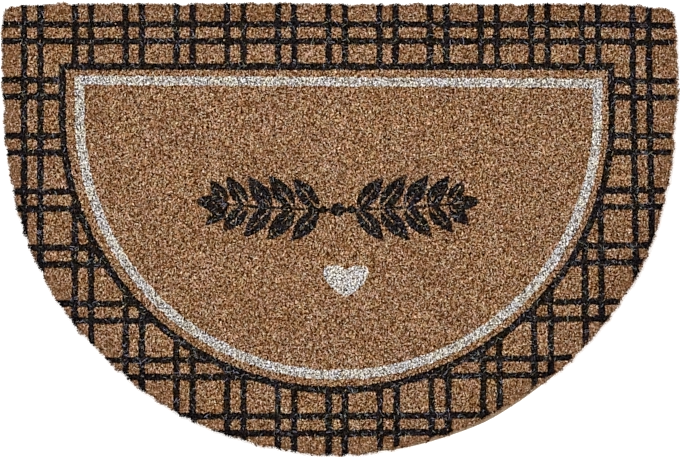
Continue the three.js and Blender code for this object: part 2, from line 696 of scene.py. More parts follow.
class Rim:
    """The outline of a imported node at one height, as an even loop of points seen from above.

    The clumps of bristles at it are two drifts, each with its height in millimetres round the arc and
    along the straight back edge. They stand out by a little more than they stand in.
    """

    clumps = ((Drift(6.5 * MM, 51), (1.05, 0.45)), (Drift(2.6 * MM, 52), (1.15, 0.45)))
    stands_out = 0.36
    at_height = 0.15 * MM
    apart = 0.2 * MM
    searched = 40 * MM
    batch = 4000

    def __init__(self, node: str, height: float, wander: Pairs, pitch: float = 1.0 * MM) -> None:
        """Reads the ring of the node's points at a height.

        Args:
            node: the CAD node.
            height: the ring's height in metres.
            wander: how far the cut strays from it, by degrees round the mat.
            pitch: distance between the points of the loop.
        """
        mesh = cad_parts[node].data
        flat = np.zeros(len(mesh.vertices) * 3, dtype=np.float32)
        mesh.vertices.foreach_get("co", flat)
        points = flat.reshape(-1, 3).astype(float)
        near = points[np.abs(points[:, 2] - height) < self.at_height][:, :2]
        ring = near[np.argsort(np.arctan2(near[:, 1], near[:, 0]))]
        step = np.hypot(*(ring - np.roll(ring, 1, axis=0)).T)
        self._close(ring[step > self.apart])
        even = self.loop(int(self.length / pitch))
        turned = np.degrees(np.arctan2(even[:, 1], even[:, 0]))
        reach = np.interp(turned, *np.array(wander).T, period=360) * MM
        self._close(even + self.outward(even) * reach[:, None])
        self.points = self.loop(int(self.length / pitch))
        self.normals = self.outward(self.points)
        angle = np.arctan2(self.points[:, 1], self.points[:, 0])
        self._turned = np.argsort(angle)
        self._angle = angle[self._turned]

    def _close(self, ring: Array) -> None:
        """Takes a ring of points as the outline, and measures it.

        Args:
            ring: the points, counter-clockwise.
        """
        self._closed = np.vstack([ring, ring[:1]])
        self._along = np.concatenate([[0.0], np.cumsum(np.hypot(*np.diff(self._closed, axis=0).T))])
        self.length = float(self._along[-1])

    def loop(self, count: int) -> Array:
        """Even points round the outline, counter-clockwise.

        Args:
            count: how many.

        Returns:
            The points, one row each.
        """
        marks = np.arange(count) / count * self.length
        return np.column_stack([np.interp(marks, self._along, self._closed[:, k]) for k in (0, 1)])

    @staticmethod
    def outward(points: Array) -> Array:
        """Unit normals of a counter-clockwise loop, from the chord over two steps each way.

        Args:
            points: the loop.

        Returns:
            One normal a point.
        """
        chord = np.roll(points, -2, axis=0) - np.roll(points, 2, axis=0)
        return -left_of(units(chord))

    def depth(self, x: Array, y: Array) -> Array:
        """How far each place lies inside the outline, along the nearest rim point's normal.

        Places well inside get a large depth without a search.

        Args:
            x: places along X.
            y: places along Y.

        Returns:
            The depth in metres, below 0 outside.
        """
        far = np.hypot(*self.points.T)[self._turned]
        reach = np.interp(np.arctan2(y, x), self._angle, far, period=TURN)
        depth = np.full(x.shape, WELL_INSIDE)
        close = np.flatnonzero(np.hypot(x, y) > reach - self.searched)
        for part in np.array_split(close, max(1, len(close) // self.batch)):
            away = np.stack([x[part], y[part]], axis=-1)[:, None, :] - self.points[None, :, :]
            nearest = np.argmin(np.einsum("ijk,ijk->ij", away, away), axis=1)
            gap = away[np.arange(len(part)), nearest]
            depth[part] = -np.einsum("ij,ij->i", gap, self.normals[nearest])
        return depth

    def raggedness(self, x: Array, y: Array) -> Array:
        """How far the clumps of bristles at the rim stand out, in metres, by two smooth noises.

        They stand out less along the straight back edge than round the arc.

        Args:
            x: places along X.
            y: places along Y.

        Returns:
            The reach of the clump at each place.
        """
        parts = [drift.at(x, y) * np.interp(y, NEAR_BACK, highs) for drift, highs in self.clumps]
        return (parts[0] + parts[1] + self.stands_out) * MM

    def nearest(self, x: Array, y: Array) -> Array:
        """The outward normal at the rim point in each place's own direction from the middle.

        Args:
            x: places along X.
            y: places along Y.

        Returns:
            One unit normal a place.
        """
        count = len(self._turned)
        place = np.interp(np.arctan2(y, x), self._angle, np.arange(count), period=TURN)
        return self.normals[self._turned[np.round(place).astype(int) % count]]


# The print


@dataclass(frozen=True)
class HalfMoon:
    """A half circle with a straight-topped band of the same width behind it."""

    middle: float
    centre: float
    radius: float
    band: float
    fall: float = 0.0

    def reach(self, x: Array, y: Array) -> Array:
        """Distance outside the shape, below 0 inside.

        Below the circle's centre it is the distance from the centre less the radius. Above it, it is the
        larger of the distance past the upright sides and the distance past the straight top.

        Args:
            x: places along X.
            y: places along Y.

        Returns:
            The distance of each place.
        """
        u = x - self.middle
        v = y - self.centre
        box = np.maximum(np.abs(u) - self.radius, v + self.fall * u - self.band)
        return np.where(v < 0, np.hypot(u, v) - self.radius, box)


@dataclass(frozen=True)
class MoonLine:
    """A line along a half moon's edge, with its own width along the arc and along the straight top."""

    along: HalfMoon
    arc_width: float
    top_width: float

    def reach(self, x: Array, y: Array) -> Array:
        """Distance outside the line, below 0 on it: it lies inside one half moon and outside another.

        Args:
            x: places along X.
            y: places along Y.

        Returns:
            The distance of each place.
        """
        return np.maximum(self._moon(0.5).reach(x, y), -self._moon(-0.5).reach(x, y))

    def _moon(self, share: float) -> HalfMoon:
        """The half moon at a share of the line's width outside the line's middle."""
        radius = self.along.radius + share * self.arc_width
        return replace(self.along, radius=radius, band=self.along.band + share * self.top_width)


@dataclass(frozen=True)
class WindowCheck:
    """Pairs of thin lines crossing at right angles."""

    middle: float
    top: float
    pitch_across: float = 45.0 * MM
    pitch_down: float = 49.65 * MM
    gap_across: float = 14.45 * MM
    gap_down: float = 15.0 * MM
    line: float = 5.9 * MM

    def reach(self, x: Array, y: Array) -> Array:
        """Distance outside the lines, below 0 on them.

        A place is folded to its distance from the nearest pair's middle. The distance from one of the
        pair's lines is the difference from half the pair's gap.

        Args:
            x: places along X.
            y: places along Y.

        Returns:
            The distance of each place.
        """
        u = self._folded(x - self.middle, self.pitch_across)
        v = self._folded(y - self.top, self.pitch_down)
        upright = np.abs(u - self.gap_across / 2)
        level = np.abs(v - self.gap_down / 2)
        return np.minimum(upright, level) - self.line / 2

    @staticmethod
    def _folded(place: Array, pitch: float) -> Array:
        """Distance from the nearest multiple of the pitch."""
        return np.abs((place + pitch / 2) % pitch - pitch / 2)


@dataclass(frozen=True)
class Heart:
    """A plain heart, wider than it is tall, with a blunt foot."""

    middle: float
    top: float
    half_width: float = 20.2 * MM
    height: float = 27.8 * MM
    dip: float = 4.2 * MM
    corner: float = 7.5 * MM
    foot: float = 16.0 * MM
    turned_up: float = 5.0 * MM

    def reach(self, x: Array, y: Array) -> Array:
        """Distance outside the heart, below 0 inside.

        With u the share of the half width, the crown dips towards the middle as (1 - 2u) to the power
        2.5 and falls off outward as a rounded corner. The foot rises from the middle as u to the power
        1.25, and turns up at the side.

        Args:
            x: places along X.
            y: places along Y.

        Returns:
            The distance of each place.
        """
        u = np.abs(x - self.middle) / self.half_width
        within = clipped(u)
        dip = self.dip * clipped(1 - 2 * within) ** 2.5
        corner = self.corner * (1 - np.cbrt(1 - clipped(2 * within - 1) ** 3))
        crown = self.top - (dip + corner)
        turned_up = self.turned_up * clipped((within - 0.85) / 0.15) ** 2
        foot = self.top - self.height + (self.foot * within**1.25 + turned_up)
        across = (u - 1) * self.half_width
        return np.maximum(np.maximum(y - crown, foot - y) * 0.85, across)


@dataclass(frozen=True)
class LeafGarland:
    """A level garland of leaf pairs, the same to the left and the right of its middle berries."""

    middle: float
    level: float
    half_width: float = 127.0 * MM
    sag: float = 8.0 * MM
    stem: float = 2.8 * MM
    berries: Pairs = ((0.0, 6.2), (12.6, 3.6))
    angle: float = math.radians(50)
    vein: float = 1.5 * MM
    starts: tuple[float, ...] = (17.0, 38.0, 59.0, 80.0, 98.0)
    lengths: tuple[float, ...] = (38.0, 39.0, 37.0, 33.5, 27.0)
    widths: tuple[float, ...] = (15.6, 16.2, 15.6, 14.6, 12.6)
    end_leaf: tuple[float, float, float] = (102.0, 26.0, 12.5)

    def _stem_at(self, u: Array | float) -> Array | float:
        """Height of the stem over a place: it rises from the middle as the square of the distance."""
        return self.level + self.sag * ((u / self.half_width) ** 2 - 0.4)

    def _leaf(self, along: Array, across: Array, length: float, width: float) -> Array:
        """Distance outside one leaf, which has a bare vein down its middle.

        The half width over the share t of the length is the sine of a half turn times t to the power
        0.8, so that the leaf is fullest before its middle.

        Args:
            along: places along the leaf from its foot.
            across: places across it.
            length: of the leaf.
            width: of the leaf where it is widest.

        Returns:
            The distance of each place.
        """
        t = clipped(along / length)
        blade = (np.abs(across) - 0.5 * width * np.sin(math.pi * t**0.8)) * 0.85
        vein = self.vein / 2 * np.clip(1.25 - 1.5 * t, -1.0, 1.0) - np.abs(across)
        ends = np.maximum(-along, along - length)
        return np.maximum(np.maximum(blade, ends), vein)

    def reach(self, x: Array, y: Array) -> Array:
        """Distance outside the garland, below 0 on it.

        The left half is the right half mirrored. Each leaf starts on the stem and leans from it by the
        same angle, up or down, and one more leaf ends the stem.

        Args:
            x: places along X.
            y: places along Y.

        Returns:
            The distance of each place.
        """
        u = np.abs(x - self.middle)
        stem = np.abs(y - self._stem_at(u)) - self.stem / 2
        nearest = np.maximum(stem, u - self.end_leaf[0] * MM)
        for place, radius in self.berries:
            away = np.hypot(u - place * MM, y - self._stem_at(place * MM))
            nearest = np.minimum(nearest, away - radius * MM)
        for start, length, width, lean in self._rows():
            turn = math.atan(2 * self.sag * start / self.half_width**2) + lean
            du = u - start
            dv = y - self._stem_at(start)
            along = du * math.cos(turn) + dv * math.sin(turn)
            across = dv * math.cos(turn) - du * math.sin(turn)
            nearest = np.minimum(nearest, self._leaf(along, across, length, width))
        return nearest

    def _rows(self) -> list[tuple[float, float, float, float]]:
        """The start, length, width and lean of each leaf on the right, in metres and radians."""
        leaves = zip(self.starts, self.lengths, self.widths)
        rows = [(*leaf, side * self.angle) for leaf in leaves for side in (-1, 1)]
        rows.append((*self.end_leaf, 0.0))
        return [(start * MM, length * MM, width * MM, lean) for start, length, width, lean in rows]


@dataclass(frozen=True)
class Print:
    """Both stencils, with the slight shift, tilt and stretch that they were laid down with."""

    dark_line: MoonLine = MoonLine(
        along=HalfMoon(-3.1 * MM, 100.9 * MM, radius=243.4 * MM, band=43.65 * MM),
        arc_width=6.5 * MM,
        top_width=6.4 * MM,
    )
    pale_line: MoonLine = MoonLine(
        along=HalfMoon(-1.5 * MM, 100.9 * MM, radius=229.4 * MM, band=30.35 * MM, fall=0.0058),
        arc_width=8.5 * MM,
        top_width=8.0 * MM,
    )
    check: WindowCheck = WindowCheck(middle=-3.1 * MM, top=174.6 * MM)
    garland: LeafGarland = LeafGarland(middle=-2.3 * MM, level=21.0 * MM)
    heart: Heart = Heart(middle=4.9 * MM, top=-31.5 * MM)
    garland_box: tuple[float, float] = (140 * MM, 50 * MM)
    bare_centre: float = 97.3 * MM
    bare_stretch: tuple[float, ...] = (95.0, 100.0, 150.0, 158.0, 168.0, 176.0, 195.0, 198.5)
    bare_margin: tuple[float, ...] = (0.0, 1.4, 1.6, 0.9, 0.9, 1.9, 2.1, 0.0)
    clamp: float = 3.0
    screen_half: float = 266 * MM
    corner_from: float = 235.0
    corner_wide: float = 35.0
    run_out: float = 3.9
    run_out_down: float = 248.0
    run_up: float = 2.8
    run_up_down: float = 210.0
    corner_low: float = 1.15
    bow: float = 0.6
    bow_down: float = 347.0
    bleed: Sway = Sway(((9.0, 71, 0.45), (3.0, 72, 0.4)))

    def _unwarped(self, x: Array, y: Array) -> tuple[Array, Array]:
        """Moves each place back to where it was on the dark stencil.

        The cloth of the screen had stretched. Towards the front right the lines run outward by up to
        3 mm and up by up to 3 mm. The level lines near the top right corner lie 1 mm low, and those on
        the left bow up by half a millimetre. The fields with down in their names say how far down from
        the check's top each of these is full, or over.

        Args:
            x: places along X.
            y: places along Y.

        Returns:
            The places on the stencil.
        """
        down = (self.check.top - y) / MM
        right = np.clip(x / self.screen_half, 0.0, 1.1)
        lower = eased(clipped(down / self.run_up_down))
        corner = eased(clipped((x / MM - self.corner_from) / self.corner_wide))
        out = self.run_out * right * (np.clip(down / self.run_out_down, 0.0, 1.3) - 0.2)
        up = self.run_up * right * lower - self.corner_low * corner * (1 - lower)
        up += self.bow * np.sin(math.pi * clipped(down / self.bow_down)) * clipped(1 - 2 * right)
        return x - out * MM, y - up * MM

    def black(self, x: Array, y: Array, depth: Array) -> Array:
        """How far inside the black print each place lies.

        The check runs outside the frame line's middle. On the right the print stops short of the rim,
        as the mat lay askew under the screen. The ink bled a little way in and out of both prints.

        Args:
            x: places along X.
            y: places along Y.
            depth: how far each place is inside the rim.

        Returns:
            The distance in millimetres, below 0 outside the print.
        """
        u, v = self._unwarped(x, y)
        checked = np.maximum(self.check.reach(u, v), -self.dark_line.along.reach(u, v))
        reach = np.minimum(self.dark_line.reach(u, v), checked)
        wide, tall = self.garland_box
        inner = (np.abs(x) < wide) & (np.abs(y - self.garland.level) < tall)
        reach[inner] = np.minimum(reach[inner], self.garland.reach(x[inner], y[inner]))
        turned = np.degrees(np.arctan2(self.bare_centre - y, -x)) % 360
        margin = np.interp(turned, self.bare_stretch, self.bare_margin, left=0.0, right=0.0) * MM
        reach = np.where(margin > 0, np.maximum(reach, margin - depth), reach)
        reach -= self.bleed.at(x, y) * MM
        return np.clip(-reach / MM, -self.clamp, self.clamp)

    def white(self, x: Array, y: Array) -> Array:
        """How far inside the white print each place lies.

        Args:
            x: places along X.
            y: places along Y.

        Returns:
            The distance in millimetres, below 0 outside the print.
        """
        reach = np.minimum(self.pale_line.reach(x, y), self.heart.reach(x, y)) - self.bleed.at(x, y) * MM
        return np.clip(-reach / MM, -self.clamp, self.clamp)


# The pile


@dataclass(frozen=True)
class Form:
    """How the points of one fibre are joined, and what each of them carries."""

    faces: tuple[tuple[tuple[int, ...], ...], ...]
    lift: tuple[float, ...]
    across: tuple[float, ...]
    spots: Pairs


# A bent kite: a root, two shoulders and a tip
KITE = Form(
    faces=(((0, 2, 1), (2, 3, 1), (0, 1, 3), (0, 3, 2)),),
    lift=(0.0, 0.75, 0.75, 1.0),
    across=(0.0, 1.0, -1.0, 0.0),
    spots=((0.5, 0.08), (0.08, 0.5), (0.92, 0.5), (0.5, 0.92)),
)

# A spindle: a point, two three-sided rings and a point
SPINDLE = Form(
    faces=(
        ((1, 2, 5, 4), (2, 3, 6, 5), (3, 1, 4, 6)),
        ((0, 2, 1), (0, 3, 2), (0, 1, 3), (4, 5, 7), (5, 6, 7), (6, 4, 7)),
    ),
    lift=(0.0, 0.36, 0.36, 0.36, 0.78, 0.78, 0.78, 1.0),
    across=(0.0, 1.0, 0.0, -1.0, 1.0, 0.0, -1.0, 0.0),
    spots=((0.5, 0.05), *((x, y) for y in (0.36, 0.78) for x in (0.1, 0.5, 0.9)), (0.5, 0.95)),
)
STRAND = replace(SPINDLE, lift=(0.3, 0.7, 0.7, 0.7, 0.9, 0.9, 0.9, 1.0))


@dataclass
class Fibres:
    """A crowd of fibres of one form, one row to a fibre."""

    form: Form
    points: Array
    tone: Array
    hue: Array
    black: Array
    white: Array

    @classmethod
    def grown(
        cls,
        form: Form,
        points: Array,
        tone: Array,
        hue: Array,
        design: Print,
        depth: Array,
        wander: Array,
    ) -> Fibres:
        """Looks up how far inside each ink every point of every fibre lies.

        Args:
            form: of the fibres.
            points: by fibre and point.
            tone: of each fibre.
            hue: of each fibre.
            design: what is printed on them.
            depth: how far each fibre, or each of its points, is inside the rim.
            wander: how far each fibre carries the ink past its edge, in millimetres.

        Returns:
            The fibres.
        """
        x, y = points[..., 0], points[..., 1]
        black = design.black(x, y, np.broadcast_to(depth, x.shape)) + wander[:, None]
        white = design.white(x, y) + wander[:, None]
        return cls(form, points, np.clip(tone, -0.2, 1.0), clipped(hue), black, white)

    @classmethod
    def joined(cls, crowds: list[Fibres]) -> Fibres:
        """Several crowds of one form as one."""
        rows = zip(*(crowd.rows() for crowd in crowds))
        return cls(crowds[0].form, *map(np.concatenate, rows))

    def rows(self) -> tuple[Array, ...]:
        """What each fibre has, one row to a fibre."""
        return self.points, self.tone, self.hue, self.black, self.white

    def pick(self, chosen: Array) -> Fibres:
        """The fibres of a mask."""
        return Fibres(self.form, *(row[chosen] for row in self.rows()))

    def piece(self, name: str, finish: FibreFinish, material: Material) -> Piece:
        """Makes the fibres one object.

        Args:
            name: the piece's name.
            finish: says which inks the mesh has to carry.
            material: the finish's material.

        Returns:
            The object.
        """
        count, size, _ = self.points.shape
        start = (np.arange(count) * size)[:, None, None]
        faces = tuple((start + np.array(part)).reshape(-1, len(part[0])) for part in self.form.faces)
        marks = {
            "tone": np.repeat(self.tone, size),
            "hue": np.repeat(self.hue, size),
            "lift": np.tile(self.form.lift, count),
            "across": np.tile(self.form.across, count),
        }
        for mark, _ in finish.inks:
            marks[mark] = getattr(self, mark).ravel()
        inked = sum(np.mean(marks[mark].reshape(count, size) > 0, axis=1) for mark, _ in finish.inks)
        chart = cells(self.tone + 2 * inked, self.hue, np.array(self.form.spots))
        return Skin(self.points.reshape(-1, 3), faces, marks, chart).piece(name, material)


def cells(tone: Array, hue: Array, spots: Array) -> Array:
    """Gives each fibre one square cell of the chart, with fibres of like colour side by side.

    Fibres are sorted by tone into rows of cells, and each row by hue, forwards and backwards in turn.

    Args:
        tone: of each fibre.
        hue: of each fibre.
        spots: where a fibre's points lie in its cell, from 0 to 1.

    Returns:
        The chart's points, one row to each point of each fibre.
    """
    count = len(tone)
    across = max(1, math.ceil(math.sqrt(count)))
    by_tone = np.argsort(tone, kind="stable")
    rank = np.empty(count, dtype=int)
    rank[by_tone] = np.arange(count)
    row = rank // across
    by_row = np.lexsort((np.where(row % 2 == 0, hue, -hue), row))
    place = np.empty(count, dtype=int)
    place[by_row] = np.arange(count)
    corner = np.column_stack([place % across, place // across])
    return ((corner[:, None, :] + spots[None, :, :]) / across).reshape(-1, 2)


def spindles(path: Array, across: Array, over: Array, radius: Array) -> Array:
    """Thickens paths of four points into spindles.

    The two inner points become rings of three, each a third of a turn apart in the plane of the two
    directions given. across, over and the way along the path make a right-handed set.

    Args:
        path: by fibre, level and axis.
        across: one unit direction a fibre, square to its path.
        over: the other one.
        radius: of each fibre.

    Returns:
        The points, by fibre and by place in the spindle's form.
    """
    points = np.empty((len(path), 8, 3))
    points[:, 0] = path[:, 0]
    points[:, 7] = path[:, 3]
    for k in range(3):
        turn = TURN * k / 3 + 0.5
        arm = (across * math.cos(turn) + over * math.sin(turn)) * radius[:, None]
        points[:, 1 + k] = path[:, 1] + arm
        points[:, 4 + k] = path[:, 2] + arm
    return points


@dataclass(frozen=True)
class Coat:
    """One coat of the brushed fibre ends.

    Lengths are in millimetres, and spreads are standard deviations.
    """

    pitch: float
    run: float
    run_spread: float
    half_width: float
    width_spread: float
    bow: float
    sunk: float
    tone: float
    tone_spread: float


UNDERCOAT = Coat(
    pitch=1.25,
    run=3.05,
    run_spread=0.8,
    half_width=0.29,
    width_spread=0.06,
    bow=0.45,
    sunk=0.7,
    tone=0.515,
    tone_spread=0.09,
)
TOPCOAT = Coat(
    pitch=2.3,
    run=3.9,
    run_spread=1.0,
    half_width=0.24,
    width_spread=0.04,
    bow=0.8,
    sunk=0.25,
    tone=0.655,
    tone_spread=0.105,
)


@dataclass
class Pile:
    """The brushed fibre ends of the whole top, and the pieces that they are shown as.

    A fibre's tone, with its painted shade, is worked out at its middle, a share of the way along its
    lean.
    The shoulder is the round edge of the top, pits are small hollows in it, outer means the band inside
    the rim, and dark means the odd dark fibre.
    """

    rim: Rim
    design: Print
    coats: tuple[Coat, ...] = (UNDERCOAT, TOPCOAT)
    reach: tuple[float, float] = (310 * MM, 210 * MM)
    jitter: float = 0.44
    lean_share: tuple[float, float] = (0.9, 1.1)
    longer: tuple[float, float] = (-1.1, 2.2)
    past_rim: tuple[float, float] = (-0.3, 0.5)
    half_widths: tuple[float, float] = (0.12, 0.7)
    knee: tuple[float, float] = (0.34, 0.56)
    roll: float = 0.6
    tip: tuple[float, float] = (-1.2, 0.4)
    least_lean: float = 0.8 * MM
    turned_in: float = 1.3 * MM
    edge: float = 0.9 * MM
    top: float = 14.45 * MM
    foot: float = 10.7 * MM
    uneven: float = 0.3
    shoulder_wide: float = 3.6 * MM
    shoulder_low: float = 1.7
    middle: float = 0.6
    mean_sunk: float = 0.6 * MM
    # painted shade on fibres whose shoulders sit below the mean, per millimetre
    sunk_painted_shade: float = 0.1
    pit_rare: float = 1.8
    pit_low: float = 1.2
    # painted shade on the fibres in pits
    pit_painted_shade: float = 0.26
    outer_from: float = 24 * MM
    outer_wide: float = 16 * MM
    # painted shade on the fibres in the band inside the rim
    outer_painted_shade: float = 0.088
    outer_alike: float = 0.1
    outer_less_dark: float = 0.3
    outer_grey: float = 0.28
    heart_pale: float = 0.055
    heart_grey: float = 0.15
    heart_dark_share: float = 0.45
    dark_share: float = 0.068
    dark_tone: tuple[float, float] = (-0.2, 0.1)
    clear_share: float = 0.006
    ink_wander: float = 0.26
    margin: float = 0.4
    seed: int = 11
    hue_range: tuple[float, float] = (0.2, 0.8)
    hues: Sway = Sway(((5.0, 21, 0.5), (18.0, 24, 0.3)))
    tones: Sway = Sway(((5.0, 22, 0.05), (15.0, 25, 0.035)))
    pits: Sway = Sway(((1.4, 26, 4.0),))
    swells: Sway = Sway(((27.0, 23, 0.2),))

    def _roots(self, rng: Draws, pitch: float) -> tuple[Array, Array]:
        """Places the fibres on a jittered net of equal triangles inside the rim.

        Args:
            rng: source of the jitter.
            pitch: side of the triangles in metres.

        Returns:
            The places, and how deep inside the rim each lies.
        """
        rise = pitch * math.sqrt(3) / 2
        columns, rows = (int(half / step) for half, step in zip(self.reach, (pitch, rise)))
        i, j = np.meshgrid(np.arange(-columns, columns + 1), np.arange(-rows, rows + 1))
        net = ((i + 0.5 * (j % 2)) * pitch, j * rise)
        x, y = ((place + rng.uniform(-1, 1, i.shape) * self.jitter * pitch).ravel() for place in net)
        depth = self.rim.depth(x, y)
        inside = depth > self.edge
        return np.column_stack([x, y])[inside], depth[inside]

    def _leans(self, rng: Draws, coat: Coat, root: Array, depth: Array) -> Array:
        """How far and which way each fibre leans from root to tip.

        Each leans its own way. Near the rim the outward part is held back, so that no tip passes the
        ragged outline, and one that is left too short for it leans inward.

        Args:
            rng: source of the leans.
            coat: what the fibres are like.
            root: places of the roots.
            depth: how deep inside the rim each lies.

        Returns:
            The leans.
        """
        count = len(root)
        way = rng.uniform(0, TURN, count)
        run = coat.run + np.clip(rng.normal(0.0, coat.run_spread, count), *self.longer)
        lean = headings(way) * self.lean_share * run[:, None] * MM
        out = self.rim.nearest(*root.T)
        room = depth + self.rim.raggedness(*root.T) + rng.uniform(*self.past_rim, count) * MM
        excess = np.maximum(np.einsum("ij,ij->i", lean, out) - room, 0.0)
        lean -= out * excess[:, None]
        short = np.hypot(*lean.T) < self.least_lean
        lean[short] -= out[short] * self.turned_in
        return lean

    def _kites(self, rng: Draws, coat: Coat, root: Array, lean: Array, crest: Array) -> Array:
        """Bends every fibre into a kite.

        The root and the tip lie on the lean's line. The shoulders stand at the knee's share of the way,
        half the width to either side, moved over by the bow, one a little higher than the other.

        Args:
            rng: source of the bends.
            coat: what the fibres are like.
            root: places of the roots, with their height.
            lean: from root to tip.
            crest: height of the brushed top over each fibre.

        Returns:
            The points, by fibre and by place in the kite.
        """
        count = len(root)
        side = left_of(units(lean))
        half = rng.normal(coat.half_width, coat.width_spread, count)[:, None]
        half = np.clip(half, *self.half_widths) * MM
        bow = rng.normal(0.0, coat.bow, count)[:, None] * MM
        knee = root[:, :2] + lean * rng.uniform(*self.knee, count)[:, None] + side * bow
        roll = rng.uniform(-self.roll, self.roll, count) * half[:, 0]
        shoulder = crest - np.abs(rng.normal(0.0, coat.sunk, count)) * MM
        points = np.empty((count, 4, 3))
        points[:, 0] = root
        points[:, 1, :2] = knee + side * half
        points[:, 2, :2] = knee - side * half
        points[:, 3, :2] = root[:, :2] + lean
        points[:, 1, 2] = shoulder + roll
        points[:, 2, 2] = shoulder - roll
        points[:, 3, 2] = shoulder + rng.uniform(*self.tip, count) * MM
        return points

    def _coat(self, rng: Draws, coat: Coat) -> Fibres:
        """Makes every fibre end of one coat.

        The top falls off over the round shoulder as the square of the distance left. Small pits lie
        lower, and their fibres get painted shade. Fibres whose shoulders sit low get painted shade too.
        Towards the rim the fibres get a little painted shade and are greyer and more alike. The
        heart got more ink. A few fibres stayed clear of the ink.

        Args:
            rng: source of everything that varies.
            coat: what the fibres are like.

        Returns:
            The fibres.
        """
        place, depth = self._roots(rng, coat.pitch * MM)
        count = len(place)
        lean = self._leans(rng, coat, place, depth)
        seen = (place + lean * self.middle).T
        pit = clipped(self.pits.at(*seen) - self.pit_rare)
        shoulder = clipped(1 - depth / self.shoulder_wide) ** 2 * self.shoulder_low
        crest = self.top + (self.swells.at(*place.T) - shoulder - pit * self.pit_low) * MM
        foot = crest - (self.top - self.foot) + rng.uniform(-self.uneven, self.uneven, count) * MM
        points = self._kites(rng, coat, np.column_stack([place, foot]), lean, crest)
        outer = clipped((self.outer_from - depth) / self.outer_wide)
        in_heart = self.design.heart.reach(*seen) < 0
        tone = coat.tone + rng.normal(0.0, coat.tone_spread, count) * (1 - self.outer_alike * outer)
        # painted shade in the pits
        tone -= pit * (self.pit_painted_shade - self.outer_alike * outer)
        tone += self.tones.at(*seen)
        # painted shade on fibres whose shoulders sit low
        tone += (points[:, 1, 2] - crest + self.mean_sunk) / MM * self.sunk_painted_shade
        # painted shade towards the rim
        tone -= outer * self.outer_painted_shade
        tone += in_heart * self.heart_pale
        share = np.where(in_heart, self.heart_dark_share, 1 - self.outer_less_dark * outer)
        darkened = rng.uniform(size=count) < self.dark_share * share
        tone = np.where(darkened, rng.normal(*self.dark_tone, count), tone)
        hue = rng.uniform(*self.hue_range, count) + self.hues.at(*seen)
        hue -= in_heart * self.heart_grey + outer * self.outer_grey
        wander = rng.normal(0.0, self.ink_wander, count)
        wander[rng.uniform(size=count) < self.clear_share] = -FAR_OFF_INK
        out = self.rim.nearest(*place.T)
        deep = depth[:, None] - np.einsum("ijk,ik->ij", points[..., :2] - place[:, None], out)
        return Fibres.grown(KITE, points, tone, hue, self.design, deep, wander)

    def build(self) -> list[Piece]:
        """Builds the pieces of the pile: those that an ink reaches, and the bare ones by place.

        Returns:
            The pieces.
        """
        rng = np.random.default_rng(self.seed)
        fibres = Fibres.joined([self._coat(rng, coat) for coat in self.coats])
        middle = fibres.points[:, 0, :2].T
        dark = fibres.black.max(axis=1) > -self.margin
        pale = ~dark & (fibres.white.max(axis=1) > -self.margin)
        bare = ~dark & ~pale
        within = self.design.pale_line.along.reach(*middle) < 0
        left = middle[0] < 0
        plain, black, white = (finish.material() for finish in (BARE_FINISH, DARK_FINISH, PALE_FINISH))
        rows = {
            "tufts_field_left": (bare & within & left, BARE_FINISH, plain),
            "tufts_field_right": (bare & within & ~left, BARE_FINISH, plain),
            "tufts_border": (bare & ~within, BARE_FINISH, plain),
            "tufts_dark_left": (dark & left, DARK_FINISH, black),
            "tufts_dark_right": (dark & ~left, DARK_FINISH, black),
            "tufts_pale": (pale, PALE_FINISH, white),
        }
        pieces = [fibres.pick(chosen).piece(name, *finish) for name, (chosen, *finish) in rows.items()]
        for piece in pieces[:3]:
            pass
        return pieces


